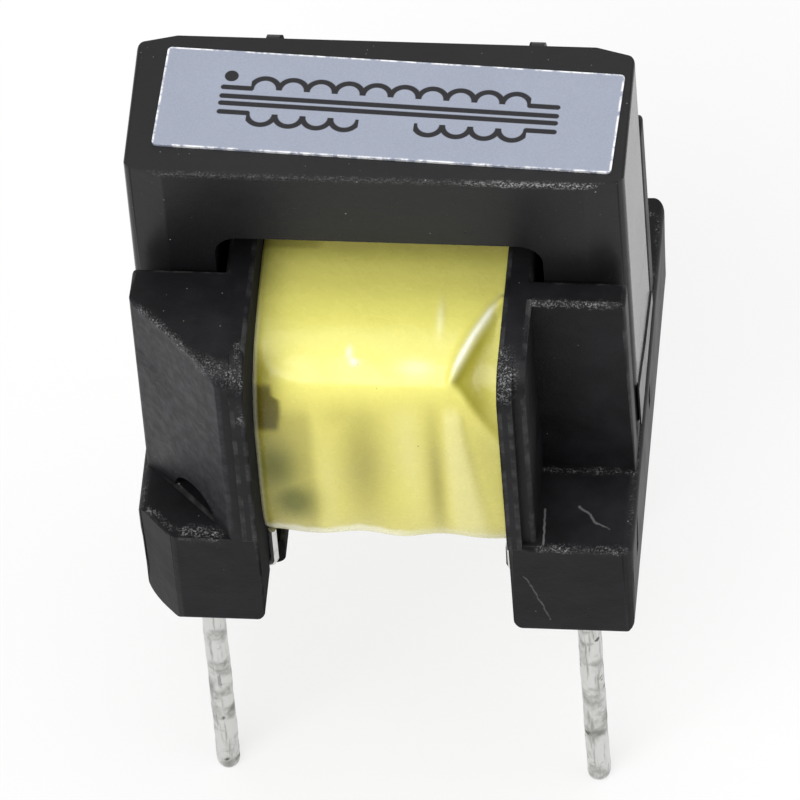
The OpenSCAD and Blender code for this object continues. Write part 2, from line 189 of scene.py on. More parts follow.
class FinishColours(bpy.types.PropertyGroup):
    """Colours of the rigid pieces and the stage."""

    moulding: colour_prop("Moulding", "Black moulding", 17, 17, 19)
    # also the colour of the painted sheen on the slanted wall
    moulding_worn: colour_prop("Worn moulding", "Scuffed moulding", 54, 54, 58)
    dust: colour_prop("Dust", "Dust and scratched edges", 172, 172, 172)
    ferrite: colour_prop("Ferrite", "Core", 18, 18, 20)
    ferrite_pale: colour_prop("Pale ferrite", "Paler grain of the core", 32, 31, 32)
    resin: colour_prop("Resin", "Dark resin at the core's feet", 20, 19, 18)
    tin: colour_prop("Tin", "Tinned pins", 212, 212, 210)
    # also the colour of the painted dark reflections along the pins
    tin_dull: colour_prop("Dull tin", "Blotches on the pins", 104, 103, 96)
    flux: colour_prop("Flux", "Dark spots left on the tin", 50, 48, 26)
    copper: colour_prop("Copper", "Enamelled wire", 172, 92, 44)
    clear_tape: colour_prop("Clear tape", "Layer between the windings", 206, 190, 132)
    label: colour_prop("Label", "Metallised label", 148, 154, 169)
    ink: colour_prop("Ink", "Print on the label", 22, 20, 24)
    floor: colour_prop("Floor", "Plain pale floor", 236, 236, 236)


class TransformerLooks(bpy.types.PropertyGroup):
    """Everything a user would change."""

    camera: bpy.props.PointerProperty(type=CameraSizes)
    tape: bpy.props.PointerProperty(type=TapeSizes)
    tape_colours: bpy.props.PointerProperty(type=TapeColours)
    pins: bpy.props.PointerProperty(type=PinSizes)
    edges: bpy.props.PointerProperty(type=EdgeSizes)
    colours: bpy.props.PointerProperty(type=FinishColours)


# ---- shader maths


def math_node(operation, swapped=False):
    """A method of Value that adds one Math node; swapped puts the value itself last."""

    def method(value, *others):
        terms = (*others, value) if swapped else (value, *others)
        made = value.nodes.node(
            "ShaderNodeMath", {"operation": operation}, dict(enumerate(terms))
        )
        return Value(value.nodes, made.outputs[0])

    return method


class Value:
    """A number in a node tree: an expression on it adds the nodes that work it out."""

    def __init__(self, nodes, socket):
        self.nodes = nodes
        self.socket = socket

    __add__ = math_node("ADD")
    __radd__ = math_node("ADD", swapped=True)
    __sub__ = math_node("SUBTRACT")
    __rsub__ = math_node("SUBTRACT", swapped=True)
    __mul__ = math_node("MULTIPLY")
    __rmul__ = math_node("MULTIPLY", swapped=True)
    __truediv__ = math_node("DIVIDE")
    __pow__ = math_node("POWER")
    __abs__ = math_node("ABSOLUTE")
    least = math_node("MINIMUM")
    most = math_node("MAXIMUM")
    root = math_node("SQRT")
    sine = math_node("SINE")
    wrap = math_node("WRAP")

    def fade(self, start, end):
        """0 up to start, 1 from end on, and a smooth step between; start may be the higher."""
        low, high = min(start, end), max(start, end)
        made = self.nodes.node(
            "ShaderNodeMapRange", {"interpolation_type": "SMOOTHSTEP"},
            {"Value": self, "From Min": low, "From Max": high},
        )
        step = Value(self.nodes, made.outputs[0])
        return step if start < end else 1 - step


class Nodes:
    """The nodes of a material or a world, and the one method that makes them."""

    def __init__(self, owner):
        owner.use_nodes = True
        self.tree = owner.node_tree
        self.tree.nodes.clear()

    def node(self, kind, settings, sockets):
        made = self.tree.nodes.new(kind)
        for key, value in settings.items():
            setattr(made, key, value)
        for key, value in sockets.items():
            self.join(made.inputs[key], value)
        return made

    def join(self, socket, value):
        """Links a socket to a node's output, or sets it."""
        if isinstance(value, Value):
            value = value.socket
        if isinstance(value, bpy.types.NodeSocket):
            self.tree.links.new(value, socket)
        elif socket.type == "RGBA" and len(value) == 3:
            socket.default_value = (*value, 1.0)
        else:
            socket.default_value = value

    def seen(self):
        """1 for rays that see it, straight, in a gloss or through glass, else 0."""
        rays = self.node("ShaderNodeLightPath", {}, {}).outputs
        seen = Value(self, rays["Is Camera Ray"])
        for name in ("Is Glossy Ray", "Is Transmission Ray"):
            seen = seen.most(Value(self, rays[name]))
        return seen


class Finish(Nodes):
    """One material: its shader, and the patterns that vary it."""

    def __init__(self, name, specular=0.5):
        self.material = bpy.data.materials.new(name)
        super().__init__(self.material)
        self.shader = self.node(
            "ShaderNodeBsdfPrincipled", {}, {"Specular IOR Level": specular}
        )
        self.output = self.node(
            "ShaderNodeOutputMaterial", {}, {"Surface": self.shader.outputs[0]}
        )
        coordinates = self.node("ShaderNodeTexCoord", {}, {})
        self.place = self.shaded(coordinates.outputs["Object"], 1 / MM)  # millimetres
        self.x, self.y, self.z = self.split(self.place)

    def vector(self, operation, sockets, output=0):
        """What a Vector Math node works out."""
        made = self.node("ShaderNodeVectorMath", {"operation": operation}, sockets)
        return made.outputs[output]

    def split(self, vector):
        made = self.node("ShaderNodeSeparateXYZ", {}, {0: vector})
        return [Value(self, socket) for socket in made.outputs]

    def noise(self, scale, detail=2.0, roughness=0.5, place=None):
        """Cloudy noise from 0 to 1, scale cells to the millimetre."""
        made = self.node("ShaderNodeTexNoise", {}, {
            "Vector": place or self.place, "Scale": scale, "Detail": detail,
            "Roughness": roughness,
        })
        return Value(self, made.outputs["Fac"])

    def warped(self, scale, reach):
        """The place pushed about by noise, up to about reach millimetres."""
        cloud = self.node("ShaderNodeTexNoise", {}, {
            "Vector": self.place, "Scale": scale, "Detail": 3.0,
        })
        centred = self.vector("SUBTRACT", {0: cloud.outputs["Color"], 1: (0.5, 0.5, 0.5)})
        return self.vector("MULTIPLY_ADD", {0: centred, 1: (2 * reach,) * 3, 2: self.place})

    def specks(self, scale, radius, share, place=None):
        """Round specks: about a share of the cells hold one, up to radius millimetres."""
        cells = self.node(
            "ShaderNodeTexVoronoi", {}, {"Vector": place or self.place, "Scale": scale}
        )
        chance, size, _ = self.split(cells.outputs["Color"])
        reach = (size * 0.7 + 0.3) * (radius * scale)
        away = Value(self, cells.outputs["Distance"]) / reach
        return away.fade(1.0, 0.6) * chance.fade(1 - share, 1 - 0.9 * share)

    def from_line(self, points, place):
        """Millimetres from a line through points: the least of its segments' distances,
        each to the foot of the place on the segment, held between its two ends."""
        nearest = None
        for start, end in zip(points, points[1:]):
            run = Vector(end) - Vector(start)
            way = self.vector("SUBTRACT", {0: place, 1: tuple(start)})
            part = tuple(run / run.length_squared)
            along = self.vector("DOT_PRODUCT", {0: way, 1: part}, "Value")
            held = Value(self, along).most(0.0).least(1.0)
            foot = self.shaded(tuple(run), held)
            distance = Value(self, self.vector("DISTANCE", {0: way, 1: foot}, "Value"))
            nearest = nearest.least(distance) if nearest else distance
        return nearest

    def lines(self, place, solid, table):
        """The strongest of some soft lines, each full up to the solid distance.

        A row of the table holds a line's points, how far it reaches and its strength.
        """
        strongest = None
        for points, reach, strength in table:
            line = self.from_line(points, place).fade(reach, solid) * strength
            strongest = strongest.most(line) if strongest else line
        return strongest

    def mix(self, factor, first, second):
        """The first colour at 0 and the second at 1."""
        made = self.node(
            "ShaderNodeMix", {"data_type": "RGBA"}, {0: factor, 6: first, 7: second}
        )
        return made.outputs[2]

    def shaded(self, colour, factor):
        """A colour, or any vector, times a factor."""
        return self.vector("SCALE", {0: colour, 3: factor})

    def wear(self, colour, roughness, relief=None, depth=0.0, metallic=None):
        """Gives the shader what changes over the surface; relief 1 stands depth mm high."""
        varying = {"Base Color": colour, "Roughness": roughness}
        if relief is not None:
            sockets = {"Height": relief, "Distance": depth * MM}
            varying["Normal"] = self.node("ShaderNodeBump", {}, sockets).outputs[0]
        if metallic is not None:
            varying["Metallic"] = metallic
        for name, value in varying.items():
            self.join(self.shader.inputs[name], value)
        return self.material


# ---- finishes


def moulding_finish(colours, on_edge):
    """Black moulded plastic: fine grain, slow waves, grey dust where it was rubbed, and
    painted sheen on the slanted wall and on the softened edges.
    """
    finish = Finish("moulding_edge" if on_edge else "moulding_face", 0.13)
    wall, base = WALL_TOP, BASE_TOP
    # dust along the rubbed edges
    rubbed = finish.lines(finish.warped(3.0, 0.16), 0.0, (
        ([(-7.75, -4.85, wall), (-6.9, -5.7, wall), (-5.3, -7.3, 13.1)], 0.3, 0.8),
        ([(-5.7, -6.9, 13.1), (-4.5, -7.4, 12.8)], 0.55, 0.9),
        ([(4.3, -6.2, wall), (4.5, -6.9, 13.0), (4.4, -7.4, 12.5)], 0.5, 1.0),
        ([(-4.4, -6.2, wall), (-4.3, -7.4, 12.7), (-4.3, -7.7, 11.0)], 0.25, 0.7),
        ([(5.1, -4.1, wall), (8.1, -4.1, wall)], 0.28, 0.7),
        ([(5.2, -7.5, base), (8.1, -7.5, base)], 0.26, 0.9),
        ([(5.1, -4.2, base), (8.0, -4.2, base)], 0.2, 0.6),
        ([(-7.9, -6.4, base), (-7.1, -7.1, base), (-6.6, -7.4, base)], 0.2, 0.7),
        ([(-6.5, -7.3, base), (-5.6, -7.35, base)], 0.42, 1.0),
        ([(8.2, -6.8, base), (8.2, 6.8, base), (5.2, 7.4, base)], 0.2, 0.5),
        ([(-8.2, 6.8, base), (-8.2, -6.2, base)], 0.2, 0.5),
        ([(5.1, 4.1, wall), (8.1, 4.1, wall)], 0.24, 0.5),
    ))
    speckle = finish.noise(15.0, 3.0, 0.75).fade(0.5, 0.62)
    speckle = speckle * 0.75 + finish.specks(9.0, 0.05, 0.5) * 0.5
    patches = finish.noise(1.1, 3.0, 0.6).fade(0.4, 0.6)
    marks = rubbed * speckle * (patches * 0.75 + 0.25)
    # a fibre and two hairline scratches, each wandering in its own way
    for scale, sway, line in (
        (1.5, 0.2, ([(6.41, -5.64, base), (6.87, -6.27, base), (7.51, -6.64, base)],
                    0.06, 0.22)),
        (4.0, 0.1, ([(4.62, -7.55, 3.0), (5.0, -7.55, 2.05), (5.38, -7.55, 0.7)],
                    0.05, 0.14)),
        (4.0, 0.05, ([(5.26, -5.85, base), (5.32, -7.36, base)], 0.05, 0.3)),
    ):
        marks = marks.most(finish.lines(finish.warped(scale, sway), 0.01, [line]))
    marks = marks.most(finish.specks(2.6, 0.045, 0.3) * 0.35)
    marks = marks.most(finish.specks(1.3, 0.035, 0.35) * 0.3)
    haze = finish.noise(0.5, 4.0, 0.6).fade(0.35, 0.75)
    if on_edge:
        # edge wear and painted highlight: the softened edges laid a little lighter, broken by
        # noise
        edge_wear_and_sheen = finish.noise(1.3, 3.0, 0.6).fade(0.4, 0.7)
        marks = marks.most(edge_wear_and_sheen * (finish.noise(11.0, 2.0) * 0.08 + 0.03))
    # painted sheen: the slanted wall by the first pin is laid mottled grey; the flanges' inner
    # faces are dull
    slanted = (finish.x + finish.y).fade(-12.4, -12.55) * finish.z.fade(4.6, 5.4)
    mottled_sheen = finish.noise(2.6, 5.0, 0.65).fade(0.25, 0.8) * slanted
    inner = abs(finish.x).fade(4.24, 4.16)
    # worn: random haze, and the painted sheen on the slanted wall
    worn = (haze * 0.2).most(mottled_sheen * 0.6 + slanted * 0.15)
    body = finish.mix(worn, colours.moulding, colours.moulding_worn)
    colour = finish.mix(marks, body, colours.dust)
    roughness = 0.44 + haze * 0.1 + marks * 0.3 - mottled_sheen * 0.08 + inner * 0.5
    relief = finish.noise(14.0, 2.0) * 0.25 + finish.noise(1.1, 2.0) + marks * 0.25
    return finish.wear(colour, roughness, relief, 0.03)


def ferrite_finish(colours, on_edge):
    """Ground ferrite: dark satin with paler grain, pits, dust on its edges and stains."""
    finish = Finish("ferrite_edge" if on_edge else "ferrite_face", 0.24)
    top = finish.z.fade(17.7, 17.85)
    cloud = finish.noise(0.35, 4.0, 0.6)
    grain = finish.noise(16.0, 2.0, 0.6)
    ragged = finish.warped(3.5, 0.12)
    # dust on the front upper edge, thickest towards the right
    edge = finish.from_line(
        [(-7.9, -2.95, CORE_TOP), (8.1, -2.95, CORE_TOP)], ragged
    ).fade(0.22, 0.0)
    edge = edge * (0.15 + 0.6 * finish.x.fade(2.0, 5.0))
    dust = edge * finish.noise(15.0, 3.0, 0.75).fade(0.48, 0.6)
    specks = finish.specks(2.2, 0.05, 0.28) + finish.specks(5.0, 0.025, 0.3) * 0.7
    # stains where resin touched the top beside the label
    stains = finish.lines(ragged, 0.1, (
        ([(-1.2, -2.3, CORE_TOP), (0.0, -2.3, CORE_TOP)], 0.42, 1.0),
        ([(0.3, 2.6, CORE_TOP), (2.3, 2.65, CORE_TOP)], 0.4, 1.0),
        ([(-4.9, 2.65, CORE_TOP), (-3.3, 2.7, CORE_TOP)], 0.4, 1.0),
    ))
    # a long shallow scratch on the right end face
    scratch = finish.from_line(
        [(8.2, 2.76, 8.4), (8.2, -0.29, 9.45)], finish.warped(2.0, 0.04)
    ).fade(0.07, 0.02)
    pits = finish.specks(1.7, 0.06, 0.3)
    worn = (finish.noise(2.4, 4.0, 0.7).fade(0.4, 0.75) * 0.3) if on_edge else 0.0
    pale = (grain.fade(0.35, 0.8) * 0.25 + cloud.fade(0.35, 0.7) * 0.25) + worn
    body = finish.mix(pale, colours.ferrite, colours.ferrite_pale)
    body = finish.mix(stains * top * 0.7, body, colours.resin)
    body = finish.mix(scratch.most(pits) * 0.5, body, colours.resin)
    colour = finish.mix(dust.most(specks * 0.45), body, colours.dust)
    # the end faces are ground smooth, the sides are satin and the top is duller
    ground = abs(finish.x).fade(8.1, 8.18)
    roughness = (0.32 + cloud * 0.1 + top * 0.1 + dust * 0.3) * (1 - ground * 0.45)
    relief = grain * 0.2 + finish.noise(2.0, 2.0) * 0.5 - scratch.most(pits) * 0.6
    return finish.wear(colour, roughness, relief, 0.018)


def resin_finish(colours):
    """Dark, poured resin: glossy with slow waves and a duller skin in places."""
    finish = Finish("resin_film")
    cloud = finish.noise(1.2, 3.0)
    colour = finish.mix(cloud.fade(0.4, 0.7), colours.resin, colours.moulding)
    roughness = 0.2 + cloud * 0.25
    relief = finish.noise(2.0, 2.0) + finish.specks(3.0, 0.08, 0.3) * 0.5
    return finish.wear(colour, roughness, relief, 0.03)


def tape_finish(colours):
    """Glossy polyester film: its colour follows the piece's own tint, with faint grain."""
    finish = Finish("yellow_tape", 0.38)
    stored = finish.node("ShaderNodeAttribute", {"attribute_name": "tint"}, {})
    tint = stored.outputs["Color"]
    cloud = finish.noise(1.6, 4.0, 0.6)
    grain = finish.noise(18.0, 2.0)
    colour = finish.shaded(tint, 0.95 + cloud * 0.08 + grain * 0.02)
    motes = finish.specks(1.5, 0.05, 0.12)
    colour = finish.mix(motes * 0.6, colour, colours.brown)
    roughness = 0.2 + cloud * 0.14 + motes * 0.2
    relief = finish.noise(3.0, 3.0) + grain * 0.08
    return finish.wear(colour, roughness, relief, 0.014)


def wire_finish(name, colours, turn):
    """Enamelled wire laid in turns: round threads along the coil, one every turn mm."""
    finish = Finish(name, 0.6)
    thread = (finish.x * (2 * math.pi / turn)).sine()
    cloud = finish.noise(1.5, 3.0)
    lit = thread.fade(-1.0, 1.0) * 0.45 + 0.6 + cloud * 0.15
    colour = finish.shaded(tuple(colours.copper), lit)
    return finish.wear(colour, 0.3 + cloud * 0.15, thread * 0.5 + 0.5, turn / 3, 0.85)


def lead_finish(colours):
    """The ends of the windings: enamelled copper wire tinned where it is wrapped."""
    finish = Finish("lead_wire", 0.5)
    cloud = finish.noise(3.0, 3.0)
    tinned = finish.z.fade(4.6, 3.2)
    colour = finish.mix(tinned, colours.copper, colours.tin)
    colour = finish.mix(cloud.fade(0.5, 0.8) * 0.4, colour, colours.tin_dull)
    relief = cloud + finish.noise(9.0, 2.0) * 0.4
    return finish.wear(colour, 0.28 + cloud * 0.2, relief, 0.015, 0.9)


def clear_tape_finish(colours):
    """Thin amber film between the windings."""
    finish = Finish("clear_film")
    cloud = finish.noise(1.4, 3.0)
    colour = finish.mix(cloud.fade(0.3, 0.8) * 0.3, colours.clear_tape, colours.copper)
    return finish.wear(colour, 0.22 + cloud * 0.15, cloud, 0.02)


def tin_finish(colours):
    """Hot-dipped tin: bright, with painted dark reflections drawn out lengthways, grey
    blotches and dark flux spots.
    """
    finish = Finish("tin")
    lengthways = finish.vector("MULTIPLY", {0: finish.place, 1: (4.0, 4.0, 0.35)})
    drawn = finish.noise(1.3, 4.0, 0.6, lengthways)
    blotch = finish.noise(1.25, 3.0, 0.55, finish.warped(1.5, 0.15)).fade(0.44, 0.74)
    spots = finish.specks(1.6, 0.26, 0.42, finish.warped(3.0, 0.2))
    tips = finish.z.fade(-8.8, -10.9)
    # painted reflection: dark lengthways streaks; dull tin in the blotches
    blotch_and_dark_reflection = (drawn.fade(0.52, 0.7) * 0.6).most(blotch * (0.8 + tips * 0.2))
    colour = finish.mix(blotch_and_dark_reflection, colours.tin, colours.tin_dull)
    flux = spots * finish.noise(4.0).fade(0.42, 0.6)
    colour = finish.mix(flux * 0.8, colour, colours.flux)
    roughness = 0.26 + drawn * 0.2 + blotch_and_dark_reflection * 0.25 + flux * 0.3
    relief = drawn * 0.9 + blotch_and_dark_reflection * 0.3 + finish.noise(12.0, 2.0) * 0.15
    metal = 0.92 - blotch_and_dark_reflection * 0.3 - flux * 0.5
    return finish.wear(colour, roughness, relief, 0.05, metal)


def label_finish(colours, centre, turn):
    """A metallised label printed with the plain sign of a two-winding transformer.

    The sign is a row of half rings above two bars and two rows below them: a ring's ink is
    where the distance from the nearest ring's middle differs little from its radius.
    """
    finish = Finish("label_foil", 0.3)
    # along and over: the label's own directions, from its middle
    shifted = finish.node("ShaderNodeMapping", {"vector_type": "TEXTURE"}, {
        "Vector": finish.place, "Location": tuple(centre), "Rotation": (0.0, 0.0, turn),
    })
    along, over, _ = finish.split(shifted.outputs[0])
    half_length, half_depth = 7.52, 2.05
    ring, line = 0.46, 0.1  # a half ring's radius, half a stroke's width
    bar, bar_height = 5.5, 0.15
    first_ring, second_rings, row_height = -4.6, 0.92, 0.52
    tail, tail_middle = 0.45, 5.05

    def stroke(distance):
        return distance.fade(line + 0.02, line - 0.02)

    def level_line(half, height, middle=0.0):
        """A stroke along the label, by its half length, its height and its middle."""
        beyond = (abs(along - middle) - half).most(0.0)
        rise = over - height
        return stroke((beyond ** 2.0 + rise * rise).root())

    def rings(first, count, height, way):
        """A row of half rings, count of them from first on; way 1 bulges up, -1 down."""
        within = (along - first).wrap(0.0, 2 * ring) - ring
        rise = (over - height) * way
        away = (within * within + rise * rise).root()
        ink = stroke(abs(away - ring)) * rise.fade(-0.02, 0.0)
        inside = (along - first).fade(-0.02, 0.0)
        return ink * inside * (along - (first + 2 * ring * count)).fade(0.02, 0.0)

    aside, raised = along + 5.3, over - 1.0
    printed = (aside * aside + raised * raised).fade(0.06, 0.045)
    for part in (
        rings(first_ring, 10, row_height, 1),
        rings(first_ring, 4, -row_height, -1),
        rings(second_rings, 4, -row_height, -1),
        level_line(bar, bar_height),
        level_line(bar, -bar_height),
        *(level_line(tail, height, middle) for height in (row_height, -row_height)
          for middle in (-tail_middle, tail_middle)),
    ):
        printed = printed.most(part)
    thin = finish.noise(7.0, 4.0, 0.7).fade(0.2, 0.42)
    fine = finish.noise(24.0, 2.0, 0.6)
    cloud = finish.noise(0.5, 3.0)
    silver = finish.shaded(colours.label, 0.78 + fine * 0.34 + cloud * 0.1)
    specks = finish.specks(2.5, 0.04, 0.3)
    silver = finish.mix(specks * 0.4, silver, colours.dust)
    # the cut edge of the foil is bright where it is bruised
    cut = abs(along).fade(half_length - 0.06, half_length)
    cut = cut.most(abs(over).fade(half_depth - 0.06, half_depth))
    cut = cut * finish.noise(2.5, 3.0, 0.7).fade(0.38, 0.6)
    silver = finish.mix(cut * 0.8, silver, (1.0, 1.0, 1.0))
    colour = finish.mix(printed * (0.88 + thin * 0.12), silver, colours.ink)
    roughness = 0.42 + fine * 0.1 - printed * 0.05
    relief = fine + printed * 0.8
    return finish.wear(colour, roughness, relief, 0.006, 0.25 * (1 - printed))


def floor_finish(colours):
    """Pale floor: the lamps draw its shadow, and the camera sees it a little lighter."""
    finish = Finish("floor")
    cloud = finish.noise(0.02, 2.0)
    colour = finish.shaded(colours.floor, 0.99 + cloud * 0.02)
    finish.wear(colour, 0.85 + cloud * 0.1)
    glow = finish.node(
        "ShaderNodeEmission", {}, {"Color": (1.0, 1.0, 1.0), "Strength": 1.0}
    )
    blend = finish.node("ShaderNodeMixShader", {}, {
        0: finish.seen() * FLOOR_GLOW, 1: finish.shader.outputs[0], 2: glow.outputs[0],
    })
    finish.join(finish.output.inputs["Surface"], blend.outputs[0])
    return finish.material


# ---- shapes


def smooth(values, start, end):
    """0 up to start, 1 from end on, and a smooth step between."""
    part = np.clip((values - start) / (end - start), 0, 1)
    return part * part * (3 - 2 * part)


def plateau(values, start, full, fading, end):
    """0 up to start, 1 from full to fading, and 0 again from end on."""
    return smooth(values, start, full) * (1 - smooth(values, fading, end))


def placed(name, data):
    """A new object in the scene."""
    made = bpy.data.objects.new(name, data)
    bpy.context.scene.collection.objects.link(made)
    return made


def coat(finishes):
    """Gives CAD nodes their finishes."""
    for node, finish in finishes.items():
        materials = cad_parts[node].data.materials
        materials.clear()
        materials.append(finish)


def put_mesh(name, points, faces, finish):
    """A smooth-shaded mesh piece that rides with the body."""
    mesh = bpy.data.meshes.new(name)
    mesh.from_pydata(points.reshape(-1, 3), [], faces)
    mesh.polygons.foreach_set("use_smooth", np.ones(len(mesh.polygons), bool))
    mesh.materials.append(finish)
    mesh.update()
    piece = placed(name, mesh)
    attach(piece, "root")
    return piece


def grid_faces(rows, columns, closed_rows=False):
    """Corner numbers of the cells of a rows by columns grid that closes along its rows."""
    row, column = np.meshgrid(
        np.arange(rows if closed_rows else rows - 1), np.arange(columns), indexing="ij"
    )
    next_row, next_column = (row + 1) % rows, (column + 1) % columns
    corners = [
        row * columns + column,
        row * columns + next_column,
        next_row * columns + next_column,
        next_row * columns + column,
    ]
    return np.stack(corners, -1).reshape(-1, 4)


SHARP_ANGLE = math.radians(30)  # an edge that turns further is sharp
FLAT_ANGLE = math.radians(0.6)  # facets that turn less are joined
SAME_PLACE = 1e-6  # metres between corners that are merged
SHORTEST_RUN = 0.6 * MM
STRAIGHT = 0.999  # the cosine between edges that are in line


def corner_runs(shape):
    """Long sharp outer corners, and the short edges in line with them.

    The short facets of the fillets are left out. Every sharp edge is marked sharp.
    """
    corners = set()
    for edge in shape.edges:
        sharp = edge.is_manifold and edge.calc_face_angle() > SHARP_ANGLE
        edge.smooth = not sharp
        if sharp and edge.is_convex:
            corners.add(edge)
    runs = {edge for edge in corners if edge.calc_length() > SHORTEST_RUN}
    growing = list(runs)
    while growing:
        edge = growing.pop()
        way = (edge.verts[1].co - edge.verts[0].co).normalized()
        beyond = {other for vertex in edge.verts for other in vertex.link_edges}
        for other in (beyond & corners) - runs:
            turn = way.dot((other.verts[1].co - other.verts[0].co).normalized())
            if abs(turn) > STRAIGHT:
                runs.add(other)
                growing.append(other)
    return runs


def softened(node, name, width, clamped, face, edge):
    """A merged copy of a CAD node: flat facets joined, long outer corners bevelled."""
    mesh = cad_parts[node].data.copy()
    mesh.name = name
    mesh.materials.clear()
    mesh.materials.append(face)
    mesh.materials.append(edge)
    shape = bmesh.new()
    shape.from_mesh(mesh)
    bmesh.ops.remove_doubles(shape, verts=shape.verts, dist=SAME_PLACE)
    bmesh.ops.dissolve_limit(
        shape, angle_limit=FLAT_ANGLE, verts=shape.verts, edges=shape.edges
    )
    bmesh.ops.recalc_face_normals(shape, faces=shape.faces)
    weight = shape.edges.layers.float.new("bevel_weight_edge")
    for corner in corner_runs(shape):
        corner[weight] = 1.0
    for facet in shape.faces:
        facet.material_index = 0
        facet.smooth = True
    shape.to_mesh(mesh)
    shape.free()
    piece = placed(name, mesh)
    bevel = piece.modifiers.new("soft_edges", "BEVEL")
    bevel.width = width
    bevel.segments = 3
    bevel.limit_method = "WEIGHT"
    bevel.use_clamp_overlap = clamped
    bevel.material = 1
    normals = piece.modifiers.new("flat_faces", "WEIGHTED_NORMAL")
    normals.keep_sharp = True
    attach(piece, "root")
    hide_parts(node)
    return piece


def signed_power(values, power):
    return np.sign(values) * np.abs(values) ** power


def coil_outline(half_depth, half_height, middle, squareness=3.8):
    """The coil's closed outline |y/a|^n + |z/b|^n = 1 and its outward normals.

    Returns a function of the way along the outline: 0 at its upper front corner, growing
    down over the front and round, and the outline's whole length.
    """
    turn = np.linspace(0, 2 * np.pi, 24001)
    power = 2 / squareness
    depth = -half_depth * signed_power(np.cos(turn), power)
    height = half_height * signed_power(np.sin(turn), power)
    steps = np.hypot(np.diff(depth), np.diff(height))
    run = np.concatenate([[0], np.cumsum(steps)])
    whole = run[-1]
    way = (run[np.argmin(np.abs(turn - np.pi / 4))] - run) % whole
    order = np.argsort(way[:-1])

    def outline(along):
        y = np.interp(along, way[order], depth[order], period=whole)
        z = np.interp(along, way[order], height[order], period=whole)
        out_y = signed_power(y / half_depth, squareness - 1) / half_depth
        out_z = signed_power(z / half_height, squareness - 1) / half_height
        size = np.hypot(out_y, out_z)
        return y, z + middle, out_y / size, out_z / size

    return outline, whole


def off_line(across, along, points):
    """Distance of each grid point from a line through points on the unrolled film."""
    nearest = np.full(across.shape, np.inf)
    for (x0, s0), (x1, s1) in zip(points, points[1:]):
        run_x, run_s = x1 - x0, s1 - s0
        part = ((across - x0) * run_x + (along - s0) * run_s) / (run_x**2 + run_s**2)
        part = np.clip(part, 0, 1)
        away = np.hypot(across - x0 - part * run_x, along - s0 - part * run_s)
        nearest = np.minimum(nearest, away)
    return nearest


def beside(across, along, start, end):
    """How far each grid point lies to one side of the line from start to end."""
    run = np.array(end) - np.array(start)
    run = run / np.hypot(*run)
    return (across - start[0]) * run[1] - (along - start[1]) * run[0]


def spots(across, along, table):
    """Soft round patches on the unrolled film, each a bell of two distances.

    A row of the table holds a patch's two places, its two widths and its strength.
    """
    return [
        strength * np.exp(-(((across - x) / wide) ** 2) - ((along - s) / long) ** 2)
        for x, s, wide, long, strength in table
    ]


def ridge(across, along, points, width, power=2):
    """A bell of the distance from a line on the unrolled film."""
    return np.exp(-((off_line(across, along, points) / width) ** power))


# the film in millimetres: its thickness, how far it stands past the CAD tape's two sides,
# where its closer columns start, and the rows' closer stretch over the front
FILM_THICKNESS, FILM_OVERHANG, CLOSE_COLUMNS = 0.24, 0.03, 1.4
CLOSE_ROWS, CLOSE_ROWS_SHARE = (-4.5, 9.5), 0.62

# its folds on its unrolled plan: across the coil, and the way down from the upper front
# corner
FOLD = [(3.95, -2.6), (3.63, -2.2), (3.13, -1.35), (2.68, -0.48), (2.31, 0.2)]
CREASE = [(-4.0, -0.8), (-3.4, 0.1), (-2.57, 0.45), (0.07, 0.4), (2.31, 0.45)]
DIMPLE_FOOT = [(2.31, 0.3), (4.1, 2.8)]
PLEAT = [(2.42, 1.2), (2.62, 4.0), (2.85, 7.6)]


def pressed_in(across, along):
    """How deep each grid point lies in the dimple, between its two sides."""
    above = beside(across, along, FOLD[1], FOLD[-1])
    return np.minimum(above, beside(across, along, *DIMPLE_FOOT))


def film_relief(across, along, sizes):
    """How far the film stands off the coil's outline, in millimetres.

    Ridges are bells of the distance from a line; the dimple is a smooth step of how deep a
    point lies between its two sides; the slack is a sum of slow waves.
    """
    unit = 1 / MM
    fold = ridge(across, along, FOLD, 0.22) * smooth(across, 2.1, 2.6) * sizes.fold * unit
    crease = ridge(across, along, CREASE, 0.32) * sizes.crease * unit
    dimple = smooth(pressed_in(across, along), -0.05, 0.75) * sizes.dimple * unit
    foot = ridge(across, along, DIMPLE_FOOT, 0.22) * 0.05 * smooth(across, 2.4, 3.0)
    pleat = ridge(across, along, PLEAT, 0.26 + 0.05 * along, 4)
    pleat = pleat * plateau(along, 0.9, 1.8, 7.0, 8.6) * sizes.band * unit
    groove = np.exp(-(((across - 1.72) / 0.42) ** 2))
    groove = groove * plateau(along, 0.8, 2.2, 7.0, 8.5) * 0.05
    slack = (
        np.sin(across * 1.7 + 0.6) * np.sin(along * 1.1 + 0.8)
        + 0.6 * np.sin(across * 3.1 - along * 0.9 + 2.0)
        + 0.4 * np.sin(across * 0.9 + along * 2.3)
    ) * sizes.ripple * unit
    slack = slack * (0.35 + 0.65 * plateau(along, -3.0, 0.0, 7.5, 9.5))
    hang = 0.07 * np.sin(across * 2.1 + 0.7) * plateau(along, 6.6, 8.6, 9.5, 11.5)
    bumps = sum(spots(across, along, (
        (-0.85, -0.5, 0.16, 0.45, 0.05), (1.95, -2.0, 0.16, 0.7, 0.06),
    )))
    lifted = smooth(across, 3.75, 4.1) * plateau(along, -3.6, -2.8, -1.4, -0.6)
    lifted = lifted * sizes.lifted * unit
    pinched = 0.05 * smooth(np.abs(across), 3.8, 4.14) ** 2
    relief = fold + crease - dimple + foot + (pleat - groove) + bumps + lifted
    return relief + slack + hang - pinched


